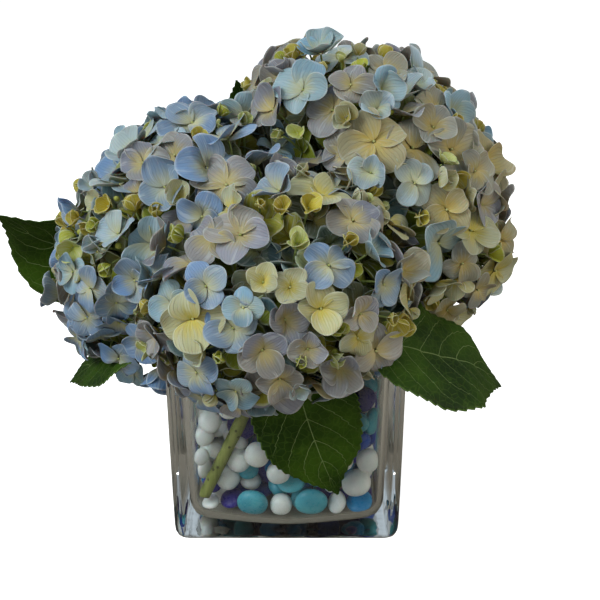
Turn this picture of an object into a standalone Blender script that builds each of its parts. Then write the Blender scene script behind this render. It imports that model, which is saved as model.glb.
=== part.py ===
"""Three hydrangea heads in a square glass vase filled with flattened glass gems.

The vase stands on Z = 0 with its centre on the Z axis, and its front wall faces -Y.
Lengths in the tables are in millimetres and are turned into metres where a mesh is made.
"""

import math

import bmesh
import bpy
import numpy as np
from mathutils import Matrix, Vector

MM = 0.001

# The vase: a five-inch cube of thick pressed glass, slightly narrower at the foot.
VASE_HEIGHT = 127.0
VASE_CORNER = 6.0
VASE_OUTSIDE = ((0.0, 55.5), (0.8, 58.0), (2.5, 60.2), (5.5, 61.5), (9.0, 61.9), (118.0, 63.35),
                (125.0, 63.5), (126.5, 63.0), (127.0, 61.8))
VASE_INSIDE = ((127.0, 57.3), (126.5, 56.2), (125.0, 55.6), (60.0, 54.6), (24.0, 54.0), (16.0, 53.4),
               (12.5, 52.0), (10.3, 49.7), (9.2, 46.9), (8.8, 43.5))
CLEARANCE = 0.4

# Flower heads: centre, radii across and along the head's own axis, and the axis itself.
HEADS = {
    "left": ((-57.0, 10.0, 157.0), (81.0, 78.0, 71.0), (-0.66, -0.08, 0.75)),
    "front": ((-2.0, -50.0, 151.0), (70.0, 68.0, 59.0), (-0.08, -0.46, 0.88)),
    "right": ((51.0, 36.0, 183.0), (90.0, 83.0, 74.0), (0.66, 0.02, 0.75)),
}
HEAD_GAP = 2.0
RIM_GAP = 4.5
WALL_GAP = 8.0
FLORETS_PER_HEAD = 70
FLORET_BUMP = 0.075

# Stems: a smooth curve through these points, from the cut end up to the head.
STEMS = {
    "front": ((-48.0, -46.5, 20.0), (-36.0, -45.5, 45.0), (-21.7, -44.5, 76.0), (-8.0, -40.0, 103.0),
              (-3.0, -34.0, 117.0)),
    "left": ((16.0, -8.0, 19.0), (2.0, -8.0, 50.0), (-14.0, -3.0, 85.0), (-24.0, 5.0, 108.0),
             (-29.0, 9.0, 121.0)),
    "right": ((-6.0, 26.0, 19.0), (4.0, 28.0, 60.0), (10.0, 31.0, 100.0), (16.0, 34.0, 128.0),
              (21.0, 36.0, 145.0)),
}
STEM_RADIUS = {"front": 3.5, "left": 3.6, "right": 3.8}

# Leaves: midrib points from the stalk to the tip, blade width, and the way the upper face looks.
LEAVES = {
    "leaf_front": (((-1.0, -52.0, 128.9), (0.0, -64.0, 129.6), (3.0, -71.0, 119.0), (10.0, -71.5, 88.0),
                    (19.0, -70.5, 59.0), (28.0, -69.0, 36.0)), 54.0, (0.0, -1.0, 0.25)),
    "leaf_right": (((26.0, -50.0, 128.9), (40.0, -62.0, 129.6), (53.0, -71.0, 127.0), (75.0, -67.0, 118.0),
                    (98.0, -54.0, 106.0), (117.0, -43.0, 88.0)), 64.0, (0.25, -0.42, 0.87)),
    "leaf_left": (((-42.0, 46.0, 128.9), (-54.0, 64.0, 131.0), (-74.0, 84.0, 127.0), (-108.0, 82.0, 126.0),
                   (-142.0, 50.0, 138.0), (-167.0, 22.0, 165.0)), 82.0, (-0.35, -0.9, 0.3)),
    "leaf_lower_left": (((-46.0, -22.0, 128.9), (-62.0, -24.0, 129.6), (-76.0, -27.0, 118.0),
                         (-93.0, -28.0, 104.0), (-109.0, -26.0, 92.0), (-123.0, -22.0, 80.0)),
                        44.0, (-0.6, -0.25, 0.75)),
    "leaf_between": (((-8.0, 50.0, 128.9), (-11.0, 67.0, 131.0), (-17.0, 94.0, 150.0), (-22.0, 103.0, 180.0),
                      (-26.0, 92.0, 210.0), (-31.0, 78.0, 233.0)), 50.0, (0.1, -0.95, -0.1)),
    "leaf_right_side": (((46.0, -2.0, 128.9), (62.0, -3.0, 129.6), (75.0, -4.0, 112.0),
                         (84.0, -2.0, 96.0), (95.0, 2.0, 78.0), (104.0, 6.0, 58.0)),
                        44.0, (0.9, -0.1, 0.45)),
    "leaf_right_back": (((38.0, 46.0, 128.9), (49.0, 64.0, 131.0), (61.0, 78.0, 121.0), (79.0, 91.0, 109.0),
                         (98.0, 102.0, 95.0), (114.0, 113.0, 76.0)), 56.0, (0.45, 0.55, 0.7)),
    "leaf_back": (((-22.0, 48.0, 128.9), (-26.0, 63.0, 129.6), (-30.0, 72.0, 117.0), (-36.0, 76.0, 88.0),
                   (-40.0, 78.0, 62.0), (-48.0, 82.0, 38.0)), 54.0, (0.0, 1.0, 0.25)),
}
# The leaves that each head rests on.
HEAD_LEAVES = {
    "left": ("leaf_left", "leaf_lower_left", "leaf_back"),
    "front": ("leaf_front", "leaf_right"),
    "right": ("leaf_between", "leaf_right_side", "leaf_right_back"),
}
LEAF_THICKNESS = 1.1
STALK_WIDTH = 3.2

# Glass gems that lie against the front wall: colour, x, z, diameter, thickness and flat side.
# Each is slid back from the wall until it clears the ones above it in the list.
GEMS = (
    ("turquoise", -19.3, 18.9, 19.0, 9.5, (-0.1, -1.0, -0.22)),
    ("turquoise", 13.8, 19.2, 20.0, 9.5, (0.05, -1.0, -0.2)),
    ("white", -3.2, 16.6, 14.0, 11.0, (0.1, -1.0, -0.1)),
    ("white", -27.0, 42.0, 15.6, 12.5, (-0.2, -1.0, 0.2)),
    ("white", -33.4, 28.6, 15.0, 12.0, (0.2, -1.0, 0.3)),
    ("white", -4.6, 38.5, 14.2, 11.5, (0.2, -1.0, 0.1)),
    ("white", 45.4, 46.5, 15.0, 11.0, (0.2, -1.0, 0.1)),
    ("white", 39.3, 29.6, 19.0, 11.0, (-0.22, -0.25, 1.0)),
    ("white", 28.4, 17.4, 14.5, 7.5, (-0.8, -0.35, 0.55)),
    ("white", -43.6, 15.2, 12.0, 6.0, (-0.4, -0.2, 1.0)),
    ("white", -16.1, 50.0, 15.6, 11.0, (0.35, -1.0, 0.2)),
    ("turquoise", 2.6, 29.0, 18.0, 7.5, (-0.15, -0.45, 1.0)),
    ("white", 25.4, 26.5, 9.5, 6.5, (-0.3, -0.5, 1.0)),
    ("sky_blue", 41.5, 16.4, 17.0, 6.5, (-0.2, -0.3, 1.0)),
    ("sky_blue", 28.8, 37.6, 15.0, 6.5, (1.0, -0.45, 0.1)),
    ("white", 31.6, 46.8, 12.0, 9.0, (0.1, -1.0, 0.1)),
    ("white", 34.4, 56.6, 12.0, 9.5, (0.2, -1.0, 0.3)),
    ("royal_blue", 41.6, 59.5, 11.0, 7.0, (0.6, -1.0, -0.2)),
    ("turquoise", 47.6, 66.5, 16.5, 7.0, (1.0, -0.6, 0.0)),
    ("turquoise", 39.4, 71.2, 12.0, 7.5, (-0.4, -1.0, 0.2)),
    ("cobalt", 43.0, 81.6, 15.0, 8.0, (0.7, -1.0, 0.1)),
    ("cobalt", 37.6, 40.0, 12.0, 6.0, (0.1, -1.0, 0.0)),
    ("royal_blue", 6.6, 41.0, 16.0, 8.0, (-0.1, -1.0, -0.3)),
    ("turquoise", 17.0, 34.6, 15.5, 8.0, (0.2, -0.8, 0.6)),
    ("cobalt", -31.6, 15.2, 15.0, 6.5, (-0.3, -0.3, 1.0)),
    ("cobalt", -24.5, 62.0, 19.0, 9.0, (0.25, -1.0, 0.15)),
    ("sky_blue", -8.4, 61.4, 14.5, 8.0, (-0.4, -1.0, 0.2)),
    ("white", -39.8, 47.0, 10.5, 8.0, (0.4, -1.0, 0.2)),
    ("white", -46.6, 36.6, 13.0, 7.5, (0.9, -0.8, 0.1)),
    ("white", -47.0, 49.4, 10.5, 7.5, (0.6, -1.0, 0.2)),
    ("white", -45.2, 60.4, 13.0, 9.0, (0.5, -1.0, 0.3)),
    ("white", -41.5, 71.2, 14.0, 9.0, (0.5, -1.0, 0.7)),
    ("white", -44.5, 82.2, 13.5, 9.0, (0.2, -1.0, 0.2)),
    ("white", -31.0, 79.5, 12.5, 9.0, (-0.2, -1.0, 0.3)),
    ("cobalt", 14.5, 54.0, 17.0, 8.5, (0.3, -1.0, 0.2)),
    ("turquoise", 22.5, 68.0, 17.0, 8.5, (-0.2, -1.0, 0.1)),
    ("white", 3.0, 69.5, 15.0, 10.5, (0.1, -1.0, 0.3)),
    ("sky_blue", 11.0, 84.0, 15.5, 8.5, (0.3, -1.0, 0.4)),
    ("royal_blue", 28.5, 83.0, 16.0, 8.5, (-0.3, -1.0, 0.3)),
)
GEM_COLOURS = {
    "white": (0.82, 0.83, 0.82, 1.0),
    "turquoise": (0.10, 0.47, 0.56, 1.0),
    "sky_blue": (0.03, 0.33, 0.66, 1.0),
    "royal_blue": (0.03, 0.12, 0.52, 1.0),
    "cobalt": (0.04, 0.03, 0.32, 1.0),
}
GEM_LAYER_BACK = -29.0
GEM_BED_TOP = 92.0
GEM_BED_FLOOR = 9.3


def clear_scene():
    """Empty the scene."""
    for thing in list(bpy.data.objects):
        bpy.data.objects.remove(thing, do_unlink=True)


def coat(thing, colour, roughness=0.5, transmission=0.0):
    """Give the object its own plain material."""
    material = bpy.data.materials.new(thing.name)
    material.use_nodes = True
    shader = material.node_tree.nodes["Principled BSDF"]
    shader.inputs["Base Color"].default_value = colour
    shader.inputs["Roughness"].default_value = roughness
    shader.inputs["Transmission Weight"].default_value = transmission
    material.diffuse_color = colour
    thing.data.materials.clear()
    thing.data.materials.append(material)


def mesh_object(name, points, faces, helper=False):
    """Make an object from points in millimetres, with its faces turned outward."""
    mesh = bpy.data.meshes.new(name)
    mesh.from_pydata([tuple(MM * float(value) for value in point) for point in points], [], faces)
    work = bmesh.new()
    work.from_mesh(mesh)
    bmesh.ops.recalc_face_normals(work, faces=work.faces[:])
    work.to_mesh(mesh)
    work.free()
    thing = bpy.data.objects.new(name, mesh)
    bpy.context.scene.collection.objects.link(thing)
    if helper:
        thing.hide_render = True
        thing.display_type = "WIRE"
    return thing


def bake(thing):
    """Apply the object's modifiers to its mesh."""
    bpy.context.view_layer.update()
    graph = bpy.context.evaluated_depsgraph_get()
    mesh = bpy.data.meshes.new_from_object(thing.evaluated_get(graph))
    thing.modifiers.clear()
    thing.data = mesh


def combine(thing, others, operation):
    """Cut the other objects out of this one, or join them to it, and remove them."""
    for other in others:
        step = thing.modifiers.new("Boolean", "BOOLEAN")
        step.operation = operation
        step.solver = "EXACT"
        step.object = other
        bake(thing)
    for other in others:
        bpy.data.objects.remove(other, do_unlink=True)
    work = bmesh.new()
    work.from_mesh(thing.data)
    bmesh.ops.remove_doubles(work, verts=work.verts[:], dist=1e-6)
    bmesh.ops.triangulate(work, faces=work.faces[:])
    work.to_mesh(thing.data)
    work.free()


def rings_mesh(rings):
    """Points and faces of a closed body lofted through rings of equal count, with flat ends."""
    count = len(rings[0])
    points = [point for ring in rings for point in ring]
    faces = [tuple(range(count - 1, -1, -1))]
    for level in range(len(rings) - 1):
        for i in range(count):
            j = (i + 1) % count
            low = level * count
            high = low + count
            faces.append((low + i, low + j, high + j, high + i))
    last = (len(rings) - 1) * count
    faces.append(tuple(range(last, last + count)))
    return points, faces


def square_ring(half, height, corner, steps=4):
    """A square with rounded corners, at one height."""
    ring = []
    for quarter in range(4):
        middle = math.radians(45 + 90 * quarter)
        cx = math.copysign(half - corner, math.cos(middle))
        cy = math.copysign(half - corner, math.sin(middle))
        for step in range(steps + 1):
            angle = math.radians(90 * quarter + 90 * step / steps)
            ring.append((cx + corner * math.cos(angle), cy + corner * math.sin(angle), height))
    return ring


def smooth_curve(points, count):
    """Evenly numbered points on a smooth curve that passes through the given ones."""
    knots = [Vector(point) for point in points]
    knots.insert(0, 2 * knots[0] - knots[1])
    knots.append(2 * knots[-1] - knots[-2])
    spans = len(knots) - 3
    found = []
    for i in range(count):
        place = spans * i / (count - 1)
        span = min(int(place), spans - 1)
        u = place - span
        a, b, c, d = knots[span:span + 4]
        found.append(0.5 * ((2 * b) + (c - a) * u + (2 * a - 5 * b + 4 * c - d) * u * u
                            + (3 * b - a - 3 * c + d) * u * u * u))
    return found


def frames_along(line):
    """A pair of cross directions at each point of a line, turned as little as possible."""
    side = Vector((1, 0, 0))
    frames = []
    for i, point in enumerate(line):
        ahead = line[min(i + 1, len(line) - 1)]
        behind = line[max(i - 1, 0)]
        along = (ahead - behind).normalized()
        side = (side - along * side.dot(along)).normalized()
        frames.append((side.copy(), along.cross(side)))
    return frames


def tube(name, line, radii, sides=10, cut=0.0, helper=False):
    """A round bar along a line, whose first end can be cut at a slant."""
    rings = []
    for i, (point, (across, up)) in enumerate(zip(line, frames_along(line))):
        ring = []
        for j in range(sides):
            angle = 2 * math.pi * j / sides
            spot = point + radii[i] * (math.cos(angle) * across + math.sin(angle) * up)
            if i == 0 and cut:
                along = (line[1] - line[0]).normalized()
                spot = spot + along * cut * (1 + math.cos(angle)) / 2
            ring.append(tuple(spot))
        rings.append(ring)
    return mesh_object(name, *rings_mesh(rings), helper=helper)


def head_axes(axis):
    """The turn that takes +Z to a head's axis."""
    return Vector((0, 0, 1)).rotation_difference(Vector(axis).normalized()).to_matrix()


def ball_mesh(detail):
    """Points and faces of a unit ball made of even triangles."""
    work = bmesh.new()
    bmesh.ops.create_icosphere(work, subdivisions=detail, radius=1.0)
    points = np.array([vertex.co[:] for vertex in work.verts])
    faces = [tuple(vertex.index for vertex in face.verts) for face in work.faces]
    work.free()
    return points, faces


def even_directions(count, turn=0.0):
    """Directions spread evenly over a sphere along a golden-angle spiral."""
    k = np.arange(count) + 0.5
    height = 1 - 2 * k / count
    around = k * math.pi * (3 - math.sqrt(5)) + turn
    flat = np.sqrt(1 - height * height)
    return np.stack([flat * np.cos(around), flat * np.sin(around), height], axis=1)


def ellipsoid(name, centre, radii, turn, detail=3, bumps=None, helper=False):
    """An ellipsoid with its own axes, and with one low bump per floret when asked."""
    points, faces = ball_mesh(detail)
    if bumps is not None:
        nearest = np.clip((points @ bumps.T).max(axis=1), -1, 1)
        spread = np.arccos(nearest) / math.sqrt(4 * math.pi / len(bumps))
        points = points * (1 + FLORET_BUMP * (0.55 - np.minimum(spread, 0.9) ** 2 / 0.6))[:, None]
    scaled = points * np.array(radii)
    placed = scaled @ np.array(turn).T + np.array(centre)
    return mesh_object(name, placed, faces, helper=helper)


def box(name, low, high, helper=True):
    """A plain box between two corners."""
    corners = [(x, y, z) for z in (low[2], high[2]) for y in (low[1], high[1]) for x in (low[0], high[0])]
    faces = [(0, 2, 3, 1), (4, 5, 7, 6), (0, 1, 5, 4), (2, 6, 7, 3), (0, 4, 6, 2), (1, 3, 7, 5)]
    return mesh_object(name, corners, faces, helper=helper)


def make_vase():
    """The glass vase: a square cup with a thick foot, rounded inside and out."""
    rings = []
    for height, half in VASE_OUTSIDE:
        corner = max(VASE_CORNER - (61.9 - min(half, 61.9)) * 0.6, 2.0)
        rings.append(square_ring(half, height, corner))
    for height, half in VASE_INSIDE:
        corner = VASE_CORNER + 1.0 + max(0.0, 53.0 - half) * 0.5
        rings.append(square_ring(half, height, corner))
    vase = mesh_object("vase", *rings_mesh(rings))
    coat(vase, (0.86, 0.92, 0.92, 0.35), 0.05, 1.0)
    return vase


def cavity_half(height):
    """Half the width of the vase's inside at a height."""
    levels = sorted(VASE_INSIDE)
    return np.interp(height, [level[0] for level in levels], [level[1] for level in levels])


def make_stem(name):
    """One cut flower stem, thicker at the foot."""
    line = smooth_curve(STEMS[name], 15)
    radii = [STEM_RADIUS[name] * (1.0 - 0.12 * i / 14) for i in range(15)]
    stem = tube("stem_" + name, line, radii, sides=12, cut=6.0)
    coat(stem, (0.19, 0.22, 0.07, 1.0), 0.6)
    return stem


def make_branches(name):
    """The branching stalks under one head: a hub at the stem's end and rods to the florets."""
    centre, radii, axis = HEADS[name]
    turn = head_axes(axis)
    line = smooth_curve(STEMS[name], 15)
    along = (line[-1] - line[-2]).normalized()
    start = line[-1] + along * 2 * CLEARANCE
    hub_line = [start, start + along * 2.5, start + along * 5.0]
    hub = tube(name + "_head_branches", hub_line, [4.2, 5.2, 3.0], sides=10)
    middle = start + along * 2.5
    rods = []
    ring = [(0.0, 0.0)] + [(0.62, 60.0 * k) for k in range(6)]
    for k, (spread, around) in enumerate(ring):
        lean = Vector((spread * math.cos(math.radians(around)), spread * math.sin(math.radians(around)), 0.0))
        aim = Vector(centre) + turn @ Vector((lean.x * radii[0] * 0.44, lean.y * radii[1] * 0.44,
                                              radii[2] * (-0.32 if k == 0 else -0.42)))
        bow = middle.lerp(aim, 0.5) + turn @ Vector((lean.x * 3, lean.y * 3, 1.5))
        rod = smooth_curve((middle, bow, aim), 5)
        rods.append(tube("rod_" + str(k), rod, [1.7, 1.6, 1.5, 1.4, 1.3], sides=6, helper=True))
    combine(hub, rods, "UNION")
    coat(hub, (0.30, 0.36, 0.14, 1.0), 0.6)
    return hub


def wedge(name, centre, toward, start):
    """A large block that begins at a distance from a point, in a given direction."""
    way = Vector(toward).normalized()
    side = way.orthogonal().normalized()
    up = way.cross(side)
    corners = []
    for depth in (start, start + 400.0):
        for v in (-300.0, 300.0):
            for u in (-300.0, 300.0):
                corners.append(tuple(Vector(centre) + way * depth + side * u + up * v))
    faces = [(0, 2, 3, 1), (4, 5, 7, 6), (0, 1, 5, 4), (2, 6, 7, 3), (0, 4, 6, 2), (1, 3, 7, 5)]
    return mesh_object(name, corners, faces, helper=True)


def make_head(name, colour):
    """One domed mass of florets, hollow underneath, cut back from its neighbours and the vase."""
    centre, radii, axis = HEADS[name]
    turn = head_axes(axis)
    bumps = even_directions(FLORETS_PER_HEAD, turn=len(name))
    dome = ellipsoid(name + "_head_florets", centre, radii, turn, detail=4, bumps=bumps)
    cutters = []
    for other, (spot, size, _) in HEADS.items():
        if other == name:
            continue
        way = Vector(spot) - Vector(centre)
        share = sum(radii) / (sum(radii) + sum(size))
        cutters.append(wedge("neighbour", centre, way, way.length * share - HEAD_GAP / 2))
    reach = VASE_OUTSIDE[-3][1] + WALL_GAP
    cutters.append(box("vase_space", (-reach, -reach, -50.0), (reach, reach, VASE_HEIGHT + RIM_GAP)))
    hollow = Vector(centre) - turn @ Vector((0, 0, 0.66 * radii[2]))
    cutters.append(ellipsoid("hollow", hollow, [0.5 * value for value in radii], turn, helper=True))
    for leaf in HEAD_LEAVES[name]:
        cutters.append(leaf_mesh(leaf, "leaf_space", 3.5, 40.0, margin=3.0))
    combine(dome, cutters, "DIFFERENCE")
    drop_crumbs(dome)
    coat(dome, colour, 0.6)
    return dome


def drop_crumbs(item):
    """Keep the body with the most faces, and remove any small one that the cuts left beside it."""
    mesh = bmesh.new()
    mesh.from_mesh(item.data)
    waiting = set(mesh.verts)
    bodies = []
    while waiting:
        body = set()
        reached = [waiting.pop()]
        while reached:
            vertex = reached.pop()
            body.add(vertex)
            for edge in vertex.link_edges:
                other = edge.other_vert(vertex)
                if other in waiting:
                    waiting.remove(other)
                    reached.append(other)
        bodies.append(body)
    bodies.sort(key=len)
    for body in bodies[:-1]:
        bmesh.ops.delete(mesh, geom=list(body), context="VERTS")
    mesh.to_mesh(item.data)
    mesh.free()


def leaf_mesh(name, title, above, below, margin=0.0):
    """A leaf's stalk and toothed blade as a thin closed body, thickened on either side by the given amounts."""
    points, width, face = LEAVES[name]
    count = 13 if margin else 24
    line = smooth_curve(points, count)
    upper = Vector(face).normalized()
    across_steps = (-1.0, 0.0, 1.0) if margin else (-1.0, -0.5, 0.0, 0.5, 1.0)
    tops = []
    bottoms = []
    for i, point in enumerate(line):
        ahead = line[min(i + 1, count - 1)]
        behind = line[max(i - 1, 0)]
        along = (ahead - behind).normalized()
        side = along.cross(upper).normalized()
        normal = side.cross(along).normalized()
        share = max(0.0, (i / (count - 1) - 0.29) / 0.71)
        ease = min(max((share - 0.70) / 0.30, 0.0), 1.0)
        arch = math.sin(math.pi * share ** 0.88) ** 0.78
        blade = width * 1.04 * arch * (1.0 - 0.50 * ease ** 2 * (3.0 - 2.0 * ease))
        tooth = 1.0 + (0.035 if i % 2 else -0.035) * (0.1 < share < 0.95) * (margin == 0)
        half = max(STALK_WIDTH / 2 * (1.0 - 0.5 * share), blade / 2 * tooth) + margin
        rise = 0.10 * half
        for step in across_steps:
            spot = point + side * (half * step) + normal * (rise * (abs(step) - 0.8 * step * step))
            tops.append(tuple(spot + normal * above))
            bottoms.append(tuple(spot - (upper if margin else normal) * below))
    wide = len(across_steps)
    size = count * wide
    faces = []
    for i in range(count - 1):
        for j in range(wide - 1):
            a = i * wide + j
            faces.append((a, a + 1, a + wide + 1, a + wide))
            faces.append((size + a, size + a + wide, size + a + wide + 1, size + a + 1))
        for j in (0, wide - 1):
            a = i * wide + j
            faces.append((a, a + wide, size + a + wide, size + a))
    for i in (0, count - 1):
        for j in range(wide - 1):
            a = i * wide + j
            faces.append((a, size + a, size + a + 1, a + 1))
    return mesh_object(title, tops + bottoms, faces, helper=margin > 0)


def make_leaf(name):
    """One leaf."""
    leaf = leaf_mesh(name, name, LEAF_THICKNESS / 2, LEAF_THICKNESS / 2)
    coat(leaf, (0.035, 0.10, 0.012, 1.0), 0.45)
    return leaf


class Gem:
    """A flattened gem, kept as an ellipsoid while it is being placed."""

    ball = ball_mesh(3)[0]

    def __init__(self, centre, diameter, thickness, face):
        self.centre = np.array(centre, float)
        self.turn = np.array(head_axes(face))
        self.half = np.array((diameter / 2, diameter / 2, thickness / 2))

    def surface(self):
        """Points on the skin."""
        return (self.ball * self.half) @ self.turn.T + self.centre

    def holds(self, points, gap):
        """Whether any of the points lies within a gap of this gem."""
        local = (points - self.centre) @ self.turn
        return bool(((local / (self.half + gap)) ** 2).sum(axis=1).min() < 1)

    def meets(self, other, gap):
        """Whether two gems come closer than the gap."""
        return self.holds(other.surface(), gap) or other.holds(self.surface(), gap)


def wall_room(points):
    """The least distance from the points to the inside of the vase, in plan."""
    half = cavity_half(points[:, 2]) - CLEARANCE
    corner = VASE_CORNER + 1.0
    over = np.maximum(np.abs(points[:, :2]) - (half - corner)[:, None], 0.0)
    return float((corner - np.hypot(over[:, 0], over[:, 1])).min())


def place_gems():
    """Slide each gem back from the front wall until it is clear of the others and of the stem."""
    stem = np.array(smooth_curve(STEMS["front"], 60))
    thick = STEM_RADIUS["front"] + CLEARANCE + 0.15
    placed = []
    for k, (colour, x, z, diameter, thickness, face) in enumerate(GEMS):
        gem = Gem((x, -56.0, z), diameter, thickness, face)
        for _ in range(160):
            skin = gem.surface()
            apart = np.linalg.norm(skin[:, None, :] - stem[None, :, :], axis=2).min()
            if wall_room(skin) > 0 and apart > thick and not any(gem.meets(other, 0.2) for _, other in placed):
                break
            gem.centre[1] += 0.25
        placed.append((colour, gem))
    return placed


def make_gems():
    """The separate gems of the front layer, each its own flattened solid."""
    numbers = {}
    for colour, gem in place_gems():
        numbers[colour] = numbers.get(colour, 0) + 1
        name = "gem_" + colour + "_" + str(numbers[colour])
        piece = ellipsoid(name, gem.centre, gem.half, Matrix(gem.turn.tolist()), detail=2)
        coat(piece, GEM_COLOURS[colour], 0.25)


def make_gem_bed(stems):
    """The loose bulk of gems behind the front layer, as one block with a lumpy top."""
    cells = 11
    rows = []
    for level in (GEM_BED_FLOOR, 11.0, 14.0, 18.0, 26.0, GEM_BED_TOP - 5.0):
        half = float(cavity_half(level)) - CLEARANCE - 0.4
        rows.append([(x, max(y, GEM_LAYER_BACK), z) for x, y, z in square_ring(half, level, VASE_CORNER + 3.0)])
    bed = mesh_object("gem_bed", *rings_mesh(rows))
    lumps = []
    half = float(cavity_half(GEM_BED_TOP)) - CLEARANCE - 0.4
    grid = []
    steps_x = np.linspace(-half + 3.2, half - 3.2, cells * 2 + 1)
    steps_y = np.linspace(GEM_LAYER_BACK + 0.5, half - 3.2, cells * 2 - 3)
    for j, y in enumerate(steps_y):
        for i, x in enumerate(steps_x):
            rise = 2.6 if (i % 2 and j % 2) else (0.7 if (i % 2 or j % 2) else -0.6)
            grid.append((x, y, GEM_BED_TOP - 2.6 + rise))
    wide = len(steps_x)
    deep = len(steps_y)
    low = [(x, y, GEM_BED_TOP - 12.0) for x, y, z in grid]
    size = len(grid)
    faces = []
    for j in range(deep - 1):
        for i in range(wide - 1):
            a = j * wide + i
            faces.append((a, a + 1, a + wide + 1, a + wide))
    edge = [i for i in range(wide)] + [j * wide + wide - 1 for j in range(1, deep)]
    edge += [(deep - 1) * wide + i for i in range(wide - 2, -1, -1)]
    edge += [j * wide for j in range(deep - 2, 0, -1)]
    for k, a in enumerate(edge):
        b = edge[(k + 1) % len(edge)]
        faces.append((b, a, size + k, size + (k + 1) % len(edge)))
    rim = [low[a] for a in edge]
    faces.append(tuple(size + k for k in range(len(edge) - 1, -1, -1)))
    lumps.append(mesh_object("lumps", grid + rim, faces, helper=True))
    combine(bed, lumps, "UNION")
    cutters = []
    for name in stems:
        line = smooth_curve(STEMS[name], 15)
        wider = [STEM_RADIUS[name] + 0.5] * len(line)
        first = line[0] - (line[1] - line[0]).normalized() * 0.5
        cutters.append(tube("stem_hole", [first] + line[1:], wider, sides=12, helper=True))
    combine(bed, cutters, "DIFFERENCE")
    coat(bed, (0.22, 0.36, 0.50, 1.0), 0.3)
    return bed


def build():
    """Make every piece."""
    clear_scene()
    make_vase()
    for name in STEMS:
        make_stem(name)
        make_branches(name)
    make_head("left", (0.30, 0.39, 0.60, 1.0))
    make_head("front", (0.55, 0.56, 0.52, 1.0))
    make_head("right", (0.50, 0.53, 0.54, 1.0))
    for name in LEAVES:
        make_leaf(name)
    make_gem_bed(("left", "right"))
    make_gems()


build()
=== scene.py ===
"""Finished look of three hydrangea heads in a square glass vase of glass gems."""

import math

import bmesh
import bpy
import numpy as np
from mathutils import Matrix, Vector


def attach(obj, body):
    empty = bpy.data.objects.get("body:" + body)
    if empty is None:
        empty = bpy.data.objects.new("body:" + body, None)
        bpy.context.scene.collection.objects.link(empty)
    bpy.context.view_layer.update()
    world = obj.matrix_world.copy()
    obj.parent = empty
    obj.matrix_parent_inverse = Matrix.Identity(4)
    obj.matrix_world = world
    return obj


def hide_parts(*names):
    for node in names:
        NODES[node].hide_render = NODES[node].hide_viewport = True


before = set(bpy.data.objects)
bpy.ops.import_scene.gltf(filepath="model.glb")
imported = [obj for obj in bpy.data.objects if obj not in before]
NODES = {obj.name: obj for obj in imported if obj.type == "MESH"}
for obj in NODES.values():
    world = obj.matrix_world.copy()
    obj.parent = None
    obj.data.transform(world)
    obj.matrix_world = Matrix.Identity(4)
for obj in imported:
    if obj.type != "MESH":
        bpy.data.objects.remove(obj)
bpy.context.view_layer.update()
MM = 0.001

# Lengths in the tables are millimetres, in the frame's axes.
VASE_OUTSIDE = ((0.0, 0.0), (0.0, 30.0), (0.0, 55.5), (0.25, 58.2), (0.8, 59.6), (2.5, 61.5), (5.5, 62.5),
                (9.0, 62.8), (30.0, 63.0), (60.0, 63.2), (90.0, 63.3), (118.0, 63.45), (125.0, 63.5),
                (126.2, 63.2), (126.8, 62.5), (127.0, 61.6))
VASE_INSIDE = ((127.0, 59.4), (127.0, 57.4), (126.7, 56.4), (126.0, 55.8), (124.0, 55.55), (100.0, 55.2),
               (60.0, 54.6), (24.0, 54.0), (17.0, 53.6), (12.0, 52.7), (8.4, 50.9), (6.6, 48.0),
               (5.8, 43.0), (5.0, 34.0), (4.5, 22.0), (4.3, 10.0), (4.3, 0.0))
HEADS = {
    "left": ((-57.0, 10.0, 157.0), (81.0, 78.0, 71.0), (-0.66, -0.08, 0.75)),
    "front": ((-2.0, -50.0, 151.0), (70.0, 68.0, 59.0), (-0.08, -0.46, 0.88)),
    "right": ((51.0, 36.0, 183.0), (90.0, 83.0, 74.0), (0.66, 0.02, 0.75)),
}
STEMS = {
    "front": ((-48.0, -46.5, 20.0), (-36.0, -45.5, 45.0), (-21.7, -44.5, 76.0), (-8.0, -40.0, 103.0),
              (-3.0, -34.0, 117.0)),
    "left": ((16.0, -8.0, 19.0), (2.0, -8.0, 50.0), (-14.0, -3.0, 85.0), (-24.0, 5.0, 108.0),
             (-29.0, 9.0, 121.0)),
    "right": ((-6.0, 26.0, 19.0), (4.0, 28.0, 60.0), (10.0, 31.0, 100.0), (16.0, 34.0, 128.0),
              (21.0, 36.0, 145.0)),
}
STEM_RADIUS = {"front": 3.5, "left": 3.6, "right": 3.8}
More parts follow.
